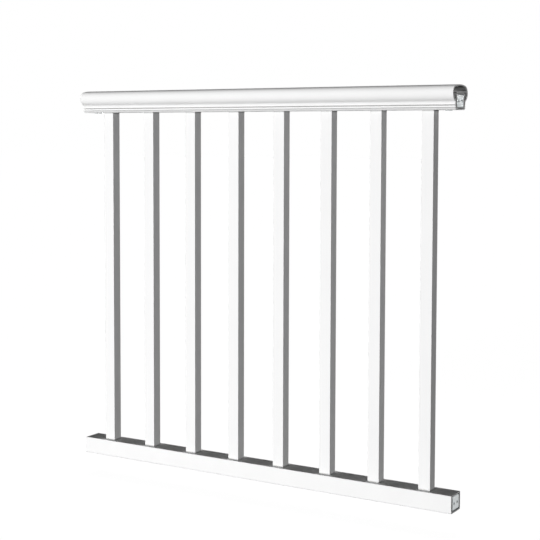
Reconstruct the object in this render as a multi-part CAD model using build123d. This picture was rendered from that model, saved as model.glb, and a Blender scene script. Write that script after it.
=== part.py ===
"""Deck railing section: moulded handrail on a support rail, square balusters and a bottom rail.

Millimetres. X runs along the rails from the left end, Y from the front to the back, Z up.
The origin is the middle of the lower left bracket's outer face, on the left end of the section.
"""

import os
from math import cos, radians, sin

from build123d import *

# Balusters
BALUSTER_COUNT = 8
BALUSTER_PITCH = 114.3
BALUSTER_WIDTH = 25.4
BALUSTER_WALL = 1.6
BALUSTER_CORNER = 0.5
BALUSTER_HEADROOM = 11.0
HOLE_CLEARANCE = 0.3

# The section as a whole: opening between the rails, and last baluster's centre to the rail end
CLEAR_HEIGHT = 772.2
END_MARGIN = 63.5

# Bottom rail, and the wall that the support rail shares with it
RAIL_HEIGHT = 37.0
RAIL_LEDGE = 11.0
RAIL_WALL = 2.8
RAIL_EDGE = 0.8
RAIL_CHAMFER = 1.9

# Handrail moulding, from its lip up to its crown
LIP_PROUD = 2.3
LIP_HEIGHT = 3.25
LIP_EDGE = 1.2
QUIRK_HEIGHT = 2.7
QUIRK_DEPTH = 2.0
NECK_HEIGHT = 1.5
OGEE_ANGLE = 62.0
COVE_RADIUS = 7.0
BULGE_LOWER_RADIUS = 16.7
BULGE_UPPER_RADIUS = 14.9
CROWN_ANGLE = 12.0
SHELL_WALL = 3.0
SEAT_RISE = 1.6
SEAT_WEB = 2.5

# Support rail inside the handrail, and its foot below the lip
FOOT_HEIGHT = 3.9
FOOT_LAND = 0.5
FOOT_SETBACK = 0.3
FOOT_GAP = 0.7
SUPPORT_SIDE_GAP = 1.6

# End brackets
BRACKET_THICKNESS = 3.0
BRACKET_BEND = 2.0
BRACKET_SLIP = 0.4
BRACKET_LEG_CLEARANCE = 10.8
BRACKET_HOLE = 5.5
BRACKET_HOLE_SPACING = 16.0

# Lengths and levels that follow from the sizes above
section_length = (BALUSTER_COUNT - 1) * BALUSTER_PITCH + 2 * END_MARGIN
rail_half = BALUSTER_WIDTH / 2 + RAIL_LEDGE
rail_top = RAIL_HEIGHT / 2
support_foot = rail_top + CLEAR_HEIGHT

# Handrail heights, measured up from the support rail's underside
lip_foot = FOOT_HEIGHT + FOOT_GAP
lip_top = lip_foot + LIP_HEIGHT
neck_foot = lip_top + QUIRK_HEIGHT
neck_top = neck_foot + NECK_HEIGHT
bulge_foot = neck_top + COVE_RADIUS * sin(radians(OGEE_ANGLE))
bulge_middle = bulge_foot + BULGE_LOWER_RADIUS * sin(radians(OGEE_ANGLE))
support_height = bulge_middle + SEAT_RISE

# Handrail half widths
lip_half = rail_half + LIP_PROUD
foot_half = lip_half - FOOT_SETBACK
quirk_half = lip_half - QUIRK_DEPTH
bulge_foot_half = lip_half + COVE_RADIUS * (1 - cos(radians(OGEE_ANGLE)))
bulge_half = bulge_foot_half + BULGE_LOWER_RADIUS * (1 - cos(radians(OGEE_ANGLE)))
support_half = quirk_half - SHELL_WALL - SUPPORT_SIDE_GAP
bracket_width = 2 * (support_half - RAIL_WALL - BRACKET_SLIP)

baluster_foot = -rail_top + RAIL_WALL
baluster_head = support_foot + support_height - RAIL_WALL - BALUSTER_HEADROOM


def baluster_places():
    """Distance of each baluster's centre from the left end."""
    return [END_MARGIN + index * BALUSTER_PITCH for index in range(BALUSTER_COUNT)]


def band(half_width, low, high):
    """Flat strip across the rail, between two heights."""
    return Pos(0, (low + high) / 2) * Rectangle(2 * half_width, high - low)


def along_rail(section, level):
    """Run a rail's cross-section, drawn at its own zero height, along the whole section."""
    return Pos(0, 0, level) * extrude(Plane.YZ * section, amount=section_length)


def routed_holes(level):
    """Square holes through a rail wall that starts at this level, one for each baluster."""
    width = BALUSTER_WIDTH + 2 * HOLE_CLEARANCE
    cutter = Box(width, width, 2 * RAIL_WALL)
    return [Pos(place, 0, level + RAIL_WALL / 2) * cutter for place in baluster_places()]


def baluster(place):
    """Square tube that stands on the bottom rail's floor and ends inside the support rail."""
    bore = BALUSTER_WIDTH - 2 * BALUSTER_WALL
    section = RectangleRounded(BALUSTER_WIDTH, BALUSTER_WIDTH, BALUSTER_CORNER) - Rectangle(bore, bore)
    return Pos(place, 0, baluster_foot) * extrude(section, amount=baluster_head - baluster_foot)


def bottom_rail():
    """Hollow rail with chamfered lower edges, eased top ones and routed holes in its top wall."""
    outer = Rectangle(2 * rail_half, RAIL_HEIGHT)
    outer = chamfer(outer.vertices().sort_by(Axis.Y)[:2], RAIL_CHAMFER)
    outer = fillet(outer.vertices().sort_by(Axis.Y)[-2:], RAIL_EDGE)
    hollow = Rectangle(2 * (rail_half - RAIL_WALL), RAIL_HEIGHT - 2 * RAIL_WALL)
    return along_rail(outer - hollow, 0) - routed_holes(rail_top - RAIL_WALL)


def top_support_rail():
    """Hollow box inside the handrail, on a wide foot whose chamfered edges show under the lip."""
    foot = band(foot_half, 0, FOOT_HEIGHT)
    foot = chamfer(foot.vertices().sort_by(Axis.Y)[:2], FOOT_HEIGHT - FOOT_LAND)
    outer = foot + band(support_half, 0, support_height)
    hollow = band(support_half - RAIL_WALL, RAIL_WALL, support_height - RAIL_WALL)
    return along_rail(outer - hollow, support_foot) - routed_holes(support_foot)


def bulge(inset):
    """Rounded top of the handrail, or the hollow this far inside it: side arcs and a crown."""
    upper_end = 90 - CROWN_ANGLE
    lower_centre = (bulge_half - BULGE_LOWER_RADIUS, bulge_middle)
    upper_centre = (bulge_half - BULGE_UPPER_RADIUS, bulge_middle)
    crown_radius = BULGE_UPPER_RADIUS + upper_centre[0] / sin(radians(CROWN_ANGLE))
    crown_drop = (crown_radius - BULGE_UPPER_RADIUS) * cos(radians(CROWN_ANGLE))
    side = [
        CenterArc(lower_centre, BULGE_LOWER_RADIUS - inset, -OGEE_ANGLE, OGEE_ANGLE),
        CenterArc(upper_centre, BULGE_UPPER_RADIUS - inset, 0, upper_end),
    ]
    crown = CenterArc((0, bulge_middle - crown_drop), crown_radius - inset, upper_end, 2 * CROWN_ANGLE)
    foot_right = side[0] @ 0
    foot = Line((-foot_right.X, foot_right.Y), foot_right)
    return make_face([*side, crown, *[mirror(arc, about=Plane.YZ) for arc in side], foot])


def moulded_base():
    """Eased lip, V quirk, and a neck that coves out to the bulge, the same on both sides."""
    lip_corner = (lip_half, lip_top)
    quirk = (quirk_half, (lip_top + neck_foot) / 2)
    neck_corner = (lip_half, neck_foot)
    side = [
        Line((lip_half, lip_foot), lip_corner),
        Line(lip_corner, quirk),
        Line(quirk, neck_corner),
        Line(neck_corner, (lip_half, neck_top)),
        CenterArc((lip_half + COVE_RADIUS, neck_top), COVE_RADIUS, 180, -OGEE_ANGLE),
    ]
    underside = Line((-lip_half, lip_foot), (lip_half, lip_foot))
    joint = Line((-bulge_foot_half, bulge_foot), (bulge_foot_half, bulge_foot))
    base = make_face([*side, joint, *[mirror(edge, about=Plane.YZ) for edge in side], underside])
    return fillet(base.vertices().sort_by(Axis.Y)[:2], LIP_EDGE)


def handrail():
    """Moulded shell that drops over the support rail and sits on it by a web."""
    web = band(bulge_half, support_height, support_height + SEAT_WEB)
    hollow = bulge(SHELL_WALL) - web + band(quirk_half - SHELL_WALL, lip_foot, bulge_middle)
    return along_rail(bulge(0) + moulded_base() - hollow, support_foot)


def end_bracket(cavity_height, level):
    """Strip bent into a U: a drilled plate on the post, and two legs that fill the rail's hollow."""
    leg = END_MARGIN - BALUSTER_WIDTH / 2 - BRACKET_LEG_CLEARANCE
    outer = Pos(leg / 2, 0) * Rectangle(leg, cavity_height)
    bend = BRACKET_BEND + BRACKET_THICKNESS
    outer = fillet(outer.vertices().sort_by(Axis.X)[:2], bend)
    inner_height = cavity_height - 2 * BRACKET_THICKNESS
    inner = Pos(BRACKET_THICKNESS + leg / 2, 0) * Rectangle(leg, inner_height)
    inner = fillet(inner.vertices().sort_by(Axis.X)[:2], BRACKET_BEND)
    strip = extrude(Plane.XZ * (outer - inner), amount=bracket_width / 2, both=True)
    drill = Rot(0, 90, 0) * Cylinder(BRACKET_HOLE / 2, 4 * BRACKET_THICKNESS)
    holes = [Pos(0, side * BRACKET_HOLE_SPACING / 2, 0) * drill for side in (-1, 1)]
    return Pos(0, 0, level) * (strip - holes)


def end_brackets():
    """One bracket in each of the four rail ends."""
    lower = end_bracket(RAIL_HEIGHT - 2 * RAIL_WALL, 0)
    upper = end_bracket(support_height - 2 * RAIL_WALL, support_foot + support_height / 2)
    middle = Plane.YZ.offset(section_length / 2)
    return {
        "bracket_lower_left": lower,
        "bracket_lower_right": mirror(lower, about=middle),
        "bracket_upper_left": upper,
        "bracket_upper_right": mirror(upper, about=middle),
    }


def railing():
    """Every piece of the section by name."""
    pieces = {
        "handrail": handrail(),
        "top_support_rail": top_support_rail(),
        "bottom_rail": bottom_rail(),
    }
    for number, place in enumerate(baluster_places(), start=1):
        pieces[f"baluster_{number}"] = baluster(place)
    pieces.update(end_brackets())
    return pieces


os.makedirs("parts", exist_ok=True)
for name, piece in railing().items():
    export_step(piece, f"parts/{name}.step")
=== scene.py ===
from math import atan2, cos, pi, radians, tan

import bmesh
import bpy
from mathutils import Matrix, Vector

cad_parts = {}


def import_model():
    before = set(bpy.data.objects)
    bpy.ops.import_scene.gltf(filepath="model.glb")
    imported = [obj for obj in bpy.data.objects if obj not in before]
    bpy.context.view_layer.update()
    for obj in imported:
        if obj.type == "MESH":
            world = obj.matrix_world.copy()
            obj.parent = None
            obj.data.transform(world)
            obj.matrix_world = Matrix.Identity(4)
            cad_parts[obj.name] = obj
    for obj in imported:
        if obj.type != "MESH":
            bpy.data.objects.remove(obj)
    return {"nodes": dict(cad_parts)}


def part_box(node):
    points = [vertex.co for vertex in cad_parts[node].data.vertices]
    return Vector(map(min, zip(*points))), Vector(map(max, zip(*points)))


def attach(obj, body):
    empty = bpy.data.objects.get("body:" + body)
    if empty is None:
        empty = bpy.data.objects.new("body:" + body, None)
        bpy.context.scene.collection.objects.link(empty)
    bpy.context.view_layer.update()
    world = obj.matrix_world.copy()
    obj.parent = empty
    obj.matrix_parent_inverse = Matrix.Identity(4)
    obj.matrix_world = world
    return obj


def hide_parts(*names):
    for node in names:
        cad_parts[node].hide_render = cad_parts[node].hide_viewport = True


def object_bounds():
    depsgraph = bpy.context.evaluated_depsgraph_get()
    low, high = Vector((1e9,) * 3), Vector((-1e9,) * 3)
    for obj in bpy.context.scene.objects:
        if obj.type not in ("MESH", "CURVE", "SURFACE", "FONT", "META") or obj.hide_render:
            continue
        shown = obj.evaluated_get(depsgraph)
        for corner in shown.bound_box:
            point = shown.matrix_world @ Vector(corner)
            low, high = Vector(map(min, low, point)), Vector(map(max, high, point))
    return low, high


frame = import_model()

cad_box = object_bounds()

MM = 0.001

# The colour sockets of a mix node
COLOUR_A, COLOUR_B, COLOUR_RESULT = 6, 7, 2

# A wave texture turns 20 radians for each unit of its scale
WAVE_SCALE = 2 * pi / 20

BALUSTERS = sorted(name for name in frame["nodes"] if name.startswith("baluster_"))
BRACKETS = sorted(name for name in frame["nodes"] if name.startswith("bracket_"))

# Corners eased by the saw's deburring on the rails, and by tumbling on the brackets
RAIL_ARRIS = 0.4 * MM
BRACKET_ARRIS = 0.2 * MM
ARRIS_SEGMENTS = 2
SHARP_ANGLE = radians(35)
FLAT_ANGLE = radians(0.3)
WELD = 0.002 * MM

# Specular level of the PVC and the powder coat, which are nearly matt
WHITE_SHEEN = 0.02

# How far the painted shade reaches from the moulding's quirks, and from the joints of the balusters with
# the rails
MOULDING_SHADE_REACH = 5 * MM
LEDGE_SHADE_REACH = 12 * MM
TUBE_SHADE_REACH = 5 * MM

# How open to the air a place is where the painted shade is darkest, and where there is none
DARKEST_SHADE_OPENNESS = 0.4
UNSHADED_OPENNESS = 0.9
SHADE_SAMPLES = 8

# A face is a sawn end where the square of its normal's part along the rail is over this
SAWN_FACING = 0.9

# The screws that hold each rail end to its bracket, from below
SCREW_SIDES = 24
SCREW_HEAD_RADIUS = 4.2 * MM
SCREW_HEAD_HEIGHT = 1.7 * MM
SCREW_HEAD_ROUND = 1.2 * MM
SCREW_ROUND_SEGMENTS = 4
SCREW_SOCKET_RADIUS = 1.7 * MM
SCREW_SOCKET_DEPTH = 1.1 * MM
SCREW_SOCKET_LOBES = 6
SCREW_LOBE_DEPTH = 0.12
SCREW_FROM_END = 24.0 * MM
SCREW_SIDE_STEP = 8.0 * MM

# The view: the camera stands to the right of the section, a little below its handrail
CAMERA_PLACE = (1.8941, -2.4086, 0.7524)
CAMERA_TURN = 32.66
CAMERA_DIP = 3.602
FOCAL_PIXELS = 1284.15
FRAME_PIXELS = 540
VIEW_CENTRE_PIXEL = (215, 210)
SENSOR_MM = 36.0

# The deck level that a section of this height stands over, and how bright it shows
GAP_UNDER_RAIL = 54 * MM
FLOOR_SIZE = 60.0
FLOOR_GLOW = 0.972

# Strength of the white behind the object as it is seen, and as it lights the object
BACKDROP_SEEN = 1.0
BACKDROP_FILL = 0.01

# How far the front lights stand above the horizon, in degrees
FRONT_RISE = 1.6

# The spotlight whose edge fades along the section: its middle falls this far beyond the left end
SPOT_LEVEL = 0.11
SPOT_ASIDE = 1.0
SPOT_RADIUS = 2.4
SPOT_DISTANCE = 20.0
SPOT_SOFTNESS = 3


def linear(hex_colour):
    """An sRGB hex colour as the linear colour that the shaders take."""
    values = [int(hex_colour[i : i + 2], 16) / 255 for i in (0, 2, 4)]
    return [v / 12.92 if v <= 0.04045 else ((v + 0.055) / 1.055) ** 2.4 for v in values] + [1.0]


def add(tree, kind, inputs=None, **settings):
    """A node with its settings, and its inputs given as values or as sockets to link."""
    made = tree.nodes.new(kind)
    for name, value in settings.items():
        setattr(made, name, value)
    for socket, value in (inputs or {}).items():
        if isinstance(value, bpy.types.NodeSocket):
            tree.links.new(value, made.inputs[socket])
        else:
            made.inputs[socket].default_value = value
    return made


def per_metre(millimetres):
    """The texture scale whose pattern repeats about every so many millimetres."""
    return 1 / (millimetres * MM)


def finish_shader(name, settings):
    """A material with one shader: its tree, the shader, and the coordinates on the piece."""
    material = bpy.data.materials.new(name)
    material.use_nodes = True
    tree = material.node_tree
    tree.nodes.clear()
    shader = add(tree, "ShaderNodeBsdfPrincipled", settings)
    add(tree, "ShaderNodeOutputMaterial", {"Surface": shader.outputs[0]})
    return material, tree, shader, add(tree, "ShaderNodeTexCoord")


def painted_nook_shade(tree, white, reach):
    """The white, greyed by painted shade within this reach of an inner corner or a joint."""
    nook = add(tree, "ShaderNodeAmbientOcclusion", {"Distance": reach}, samples=SHADE_SAMPLES)
    openness = {"Value": nook.outputs["AO"], "From Min": DARKEST_SHADE_OPENNESS, "From Max": UNSHADED_OPENNESS}
    unshaded = add(tree, "ShaderNodeMapRange", openness)
    # Painted shade: the white turns to this grey where ambient occlusion finds a corner or joint close by
    shades = {0: unshaded.outputs[0], COLOUR_A: linear("A8A8A8"), COLOUR_B: white}
    return add(tree, "ShaderNodeMix", shades, data_type="RGBA").outputs[COLOUR_RESULT]


def extruded_pvc(name, shade_reach):
    """White rigid PVC, extruded: nearly matt, faintly clouded, with die lines along it and sawn ends."""
    material, tree, shader, place = finish_shader(name, {"Specular IOR Level": WHITE_SHEEN})
    along = place.outputs["Object"]

    # Pigment clouds a few centimetres wide, only just lighter and darker than each other
    clouds = add(tree, "ShaderNodeTexNoise", {"Vector": along, "Scale": per_metre(45), "Detail": 3.0})
    whites = {0: clouds.outputs["Fac"], COLOUR_A: linear("F8F8F8"), COLOUR_B: linear("F3F3F3")}
    white = add(tree, "ShaderNodeMix", whites, data_type="RGBA").outputs[COLOUR_RESULT]
    # The base colour carries painted shade in the moulding's nooks and at its joints
    tree.links.new(painted_nook_shade(tree, white, shade_reach), shader.inputs["Base Color"])

    # Patches where the cooling sizer left the skin smoother or rougher
    skin = add(tree, "ShaderNodeTexNoise", {"Vector": along, "Scale": per_metre(25), "Detail": 2.0})
    patches = {"Value": skin.outputs["Fac"], "To Min": 0.62, "To Max": 0.78}
    roughness = add(tree, "ShaderNodeMapRange", patches)
    tree.links.new(roughness.outputs[0], shader.inputs["Roughness"])

    # Die lines half a metre long, drawn 1.5 mm apart: the real ones are finer than a pixel
    stretch = (per_metre(500), per_metre(1.5), per_metre(1.5))
    drawn = add(tree, "ShaderNodeMapping", {"Vector": along, "Scale": stretch})
    lines = add(tree, "ShaderNodeTexNoise", {"Vector": drawn.outputs[0], "Scale": 1.0, "Detail": 1.0})
    relief = {"Height": lines.outputs["Fac"], "Strength": 0.12, "Distance": 0.02 * MM}
    skin_bump = add(tree, "ShaderNodeBump", relief)

    # Saw marks up the cut ends only: 1.8 mm apart, nearly straight since the blade is large
    teeth = {"Vector": along, "Scale": per_metre(1.8) * WAVE_SCALE, "Distortion": 1.5}
    marks = add(tree, "ShaderNodeTexWave", teeth, bands_direction="Y")
    facing = add(tree, "ShaderNodeSeparateXYZ", {0: place.outputs["Normal"]})
    square = add(tree, "ShaderNodeMath", {0: facing.outputs[0], 1: facing.outputs[0]}, operation="MULTIPLY")
    sawn = add(tree, "ShaderNodeMath", {0: square.outputs[0], 1: SAWN_FACING}, operation="GREATER_THAN")
    cut = {"Height": marks.outputs["Fac"], "Strength": sawn.outputs[0], "Distance": 0.06 * MM}
    cut["Normal"] = skin_bump.outputs[0]
    cut_bump = add(tree, "ShaderNodeBump", cut)
    tree.links.new(cut_bump.outputs[0], shader.inputs["Normal"])
    return material


def powder_coat():
    """White polyester powder coat on aluminium tube: nearly matt, with a fine orange peel."""
    material, tree, shader, place = finish_shader("white_powder_coat", {"Specular IOR Level": WHITE_SHEEN})
    on_tube = place.outputs["Object"]

    # Film build: a slow drift in whiteness along the tube
    film = add(tree, "ShaderNodeTexNoise", {"Vector": on_tube, "Scale": per_metre(120), "Detail": 2.0})
    whites = {0: film.outputs["Fac"], COLOUR_A: linear("F7F7F7"), COLOUR_B: linear("F2F2F2")}
    white = add(tree, "ShaderNodeMix", whites, data_type="RGBA").outputs[COLOUR_RESULT]
    # The base colour carries painted shade where the tubes meet the rails
    tree.links.new(painted_nook_shade(tree, white, TUBE_SHADE_REACH), shader.inputs["Base Color"])

    # Orange peel: shallow swells about 2.5 mm across
    peel = add(tree, "ShaderNodeTexNoise", {"Vector": on_tube, "Scale": per_metre(2.5), "Detail": 1.0})
    patches = {"Value": peel.outputs["Fac"], "To Min": 0.6, "To Max": 0.7}
    roughness = add(tree, "ShaderNodeMapRange", patches)
    tree.links.new(roughness.outputs[0], shader.inputs["Roughness"])
    swells = {"Height": peel.outputs["Fac"], "Strength": 0.3, "Distance": 0.03 * MM}
    bump = add(tree, "ShaderNodeBump", swells)
    tree.links.new(bump.outputs[0], shader.inputs["Normal"])
    return material


def zinc_plate():
    """Bright zinc plate on pressed steel: bluish silver, clouded, with fine rolling marks."""
    material, tree, shader, place = finish_shader("zinc_plated_steel", {"Metallic": 1.0})
    on_steel = place.outputs["Object"]

    # Passivate clouds about 7 mm wide, from blue-grey to a warmer silver
    clouds = add(tree, "ShaderNodeTexNoise", {"Vector": on_steel, "Scale": per_metre(7), "Detail": 3.0})
    silvers = {0: clouds.outputs["Fac"], COLOUR_A: linear("AEB6BD"), COLOUR_B: linear("CFD0CC")}
    silver = add(tree, "ShaderNodeMix", silvers, data_type="RGBA")
    tree.links.new(silver.outputs[COLOUR_RESULT], shader.inputs["Base Color"])
    patches = {"Value": clouds.outputs["Fac"], "To Min": 0.3, "To Max": 0.46}
    roughness = add(tree, "ShaderNodeMapRange", patches)
    tree.links.new(roughness.outputs[0], shader.inputs["Roughness"])

    # Rolling marks along the strip, drawn 0.8 mm apart: the real ones are finer than a pixel
    stretch = (per_metre(30), per_metre(0.8), per_metre(0.8))
    rolled = add(tree, "ShaderNodeMapping", {"Vector": on_steel, "Scale": stretch})
    lines = add(tree, "ShaderNodeTexNoise", {"Vector": rolled.outputs[0], "Scale": 1.0})
    marks = {"Height": lines.outputs["Fac"], "Strength": 0.3, "Distance": 0.01 * MM}
    bump = add(tree, "ShaderNodeBump", marks)
    tree.links.new(bump.outputs[0], shader.inputs["Normal"])
    return material


def new_piece(name, bm, material):
    """A shown object made from a finished bmesh, shaded smooth up to its sharp corners."""
    mesh = bpy.data.meshes.new(name)
    bm.to_mesh(mesh)
    bm.free()
    mesh.materials.append(material)
    mesh.shade_smooth()
    mesh.set_sharp_from_angle(angle=SHARP_ANGLE)
    made = bpy.data.objects.new(name, mesh)
    bpy.context.scene.collection.objects.link(made)
    return made


def eased(name, arris, material):
    """A merged copy of a CAD piece that stands for it, with every outer corner eased."""
    bm = bmesh.new()
    bm.from_mesh(frame["nodes"][name].data)
    bmesh.ops.remove_doubles(bm, verts=bm.verts, dist=WELD)
    bmesh.ops.dissolve_limit(bm, angle_limit=FLAT_ANGLE, verts=bm.verts, edges=bm.edges)
    corners = [e for e in bm.edges if e.is_convex and e.calc_face_angle() > SHARP_ANGLE]
    bmesh.ops.bevel(
        bm,
        geom=corners,
        offset=arris,
        segments=ARRIS_SEGMENTS,
        profile=0.5,
        affect="EDGES",
        clamp_overlap=True,
        material=-1,
    )
    made = new_piece(name + "_eased", bm, material)
    made.modifiers.new("flat_faces", "WEIGHTED_NORMAL").keep_sharp = True
    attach(made, "root")
    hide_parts(name)


def coat_balusters(material):
    """The finish on the tubes, which are shown by their own CAD meshes."""
    for name in BALUSTERS:
        tube = frame["nodes"][name].data
        tube.materials.clear()
        tube.materials.append(material)


def screw_head(bm, place):
    """Low pan head with a lobed socket, seated on a rail's underside."""
    seat = bmesh.ops.create_circle(
        bm,
        cap_ends=True,
        segments=SCREW_SIDES,
        radius=SCREW_HEAD_RADIUS,
        matrix=Matrix.Translation(place),
    )
    head = bmesh.ops.extrude_face_region(bm, geom=seat["verts"][0].link_faces[:])["geom"]
    cap = next(item for item in head if isinstance(item, bmesh.types.BMFace))
    bmesh.ops.translate(bm, verts=cap.verts, vec=(0, 0, -SCREW_HEAD_HEIGHT))
    rounded = bmesh.ops.bevel(
        bm,
        geom=cap.edges[:],
        offset=SCREW_HEAD_ROUND,
        segments=SCREW_ROUND_SEGMENTS,
        profile=0.5,
        affect="EDGES",
        material=-1,
    )
    lower = {face for vert in rounded["verts"] for face in vert.link_faces}
    cap = min(lower, key=lambda face: face.calc_center_median().z)
    rim = SCREW_HEAD_RADIUS - SCREW_HEAD_ROUND - SCREW_SOCKET_RADIUS
    bmesh.ops.inset_region(bm, faces=[cap], thickness=rim)
    for vert in cap.verts:
        arm = vert.co.xy - place.xy
        lobe = 1 - SCREW_LOBE_DEPTH * (1 - cos(SCREW_SOCKET_LOBES * atan2(arm.y, arm.x)))
        vert.co.xy = place.xy + arm * lobe
    socket = bmesh.ops.extrude_face_region(bm, geom=[cap, *cap.edges])["geom"]
    floor = [item for item in socket if isinstance(item, bmesh.types.BMVert)]
    bmesh.ops.translate(bm, verts=floor, vec=(0, 0, SCREW_SOCKET_DEPTH))


def screws(material):
    """Two screws under each end of the bottom rail and of the support rail."""
    bm = bmesh.new()
    for name in ("bottom_rail", "top_support_rail"):
        low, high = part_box(name)
        for x in (low.x + SCREW_FROM_END, high.x - SCREW_FROM_END):
            for y in (-SCREW_SIDE_STEP, SCREW_SIDE_STEP):
                screw_head(bm, Vector((x, y, low.z)))
    bmesh.ops.recalc_face_normals(bm, faces=bm.faces)
    made = new_piece("rail_screws", bm, material)
    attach(made, "root")


def seen_directly(tree):
    """1 for rays from the camera, mirrored or let through, and 0 for light between surfaces."""
    path = add(tree, "ShaderNodeLightPath").outputs
    straight_or_mirrored = {0: path["Is Camera Ray"], 1: path["Is Glossy Ray"]}
    seen = add(tree, "ShaderNodeMath", straight_or_mirrored, operation="MAXIMUM")
    seen_or_through = {0: seen.outputs[0], 1: path["Is Transmission Ray"]}
    return add(tree, "ShaderNodeMath", seen_or_through, operation="MAXIMUM").outputs[0]


def stage_floor():
    """Pale deck-level floor that keeps the object's shadow."""
    bm = bmesh.new()
    bmesh.ops.create_grid(bm, x_segments=1, y_segments=1, size=FLOOR_SIZE / 2)
    bmesh.ops.translate(bm, verts=bm.verts, vec=(0, 0, cad_box[0].z - GAP_UNDER_RAIL))
    material = bpy.data.materials.new("pale_floor")
    material.use_nodes = True
    tree = material.node_tree
    tree.nodes.clear()
    glow = add(tree, "ShaderNodeEmission", {"Strength": FLOOR_GLOW})
    unlit = add(tree, "ShaderNodeEmission", {"Strength": 0.0})
    glow_if_seen = {0: seen_directly(tree), 1: unlit.outputs[0], 2: glow.outputs[0]}
    shown = add(tree, "ShaderNodeMixShader", glow_if_seen)
    matt = add(tree, "ShaderNodeBsdfDiffuse", {"Color": linear("959595")})
    both = add(tree, "ShaderNodeAddShader", {0: shown.outputs[0], 1: matt.outputs[0]})
    add(tree, "ShaderNodeOutputMaterial", {"Surface": both.outputs[0]})
    new_piece("floor", bm, material)


def world():
    """White behind the object, and a low even light on it."""
    made = bpy.data.worlds.new("studio")
    bpy.context.scene.world = made
    made.use_nodes = True
    tree = made.node_tree
    tree.nodes.clear()
    levels = {"Value": seen_directly(tree), "To Min": BACKDROP_FILL, "To Max": BACKDROP_SEEN}
    strength = add(tree, "ShaderNodeMapRange", levels)
    white = {"Color": linear("FFFFFF"), "Strength": strength.outputs[0]}
    backdrop = add(tree, "ShaderNodeBackground", white)
    add(tree, "ShaderNodeOutputWorld", {"Surface": backdrop.outputs[0]})


def soft_light(name, azimuth, elevation, softness, level):
    """A far light, by where it stands seen from the front: level 1 shows a white face as white."""
    lamp = bpy.data.lights.new(name, "SUN")
    lamp.angle = radians(softness)
    lamp.energy = level * pi
    made = bpy.data.objects.new(name, lamp)
    made.rotation_euler = (radians(90 - elevation), 0, radians(azimuth))
    bpy.context.scene.collection.objects.link(made)


def fading_light():
    """A far spotlight aimed past the left end, so that its soft edge dims the section to the right."""
    lamp = bpy.data.lights.new("fading_light", "SPOT")
    lamp.energy = SPOT_LEVEL * (2 * pi * SPOT_DISTANCE) ** 2
    lamp.spot_size = 2 * atan2(SPOT_RADIUS, SPOT_DISTANCE)
    lamp.spot_blend = 1.0
    lamp.shadow_soft_size = SPOT_DISTANCE * tan(radians(SPOT_SOFTNESS / 2))
    made = bpy.data.objects.new("fading_light", lamp)
    low, high = cad_box
    rise = SPOT_DISTANCE * tan(radians(FRONT_RISE))
    made.location = (low.x - SPOT_ASIDE, -SPOT_DISTANCE, (low.z + high.z) / 2 + rise)
    made.rotation_euler = (radians(90 - FRONT_RISE), 0, 0)
    made.visible_camera = False
    bpy.context.scene.collection.objects.link(made)


def lights():
    """Nearly level light from the front, the back and both sides, and a little from above."""
    soft_light("front_light", azimuth=0, elevation=FRONT_RISE, softness=3, level=0.847)
    fading_light()
    soft_light("right_light", azimuth=60, elevation=FRONT_RISE, softness=3, level=0.2)
    soft_light("back_light", azimuth=180, elevation=0.6, softness=2, level=0.85)
    soft_light("left_light", azimuth=240, elevation=0.6, softness=2, level=0.25)
    soft_light("top_light", azimuth=0, elevation=90, softness=2, level=0.05)


def camera():
    """The photograph's view of the section, framed off centre as it is there."""
    lens = bpy.data.cameras.new("camera")
    lens.sensor_width = SENSOR_MM
    lens.lens = SENSOR_MM * FOCAL_PIXELS / FRAME_PIXELS
    lens.shift_x = 0.5 - VIEW_CENTRE_PIXEL[0] / FRAME_PIXELS
    lens.shift_y = VIEW_CENTRE_PIXEL[1] / FRAME_PIXELS - 0.5
    made = bpy.data.objects.new("camera", lens)
    made.location = CAMERA_PLACE
    made.rotation_euler = (radians(90 - CAMERA_DIP), 0, radians(CAMERA_TURN))
    bpy.context.scene.collection.objects.link(made)
    bpy.context.scene.camera = made


# Both PVC materials carry painted shade near inner corners and joints; on the bottom rail it reaches
# further across the ledge
moulding_pvc = extruded_pvc("extruded_white_pvc", MOULDING_SHADE_REACH)
ledge_pvc = extruded_pvc("white_pvc_wide_painted_shade", LEDGE_SHADE_REACH)
coat = powder_coat()
zinc = zinc_plate()

eased("handrail", RAIL_ARRIS, moulding_pvc)
eased("top_support_rail", RAIL_ARRIS, moulding_pvc)
eased("bottom_rail", RAIL_ARRIS, ledge_pvc)
for name in BRACKETS:
    eased(name, BRACKET_ARRIS, zinc)
coat_balusters(coat)
screws(zinc)

stage_floor()
world()
lights()
camera()
bpy.context.scene.view_settings.view_transform = "Standard"
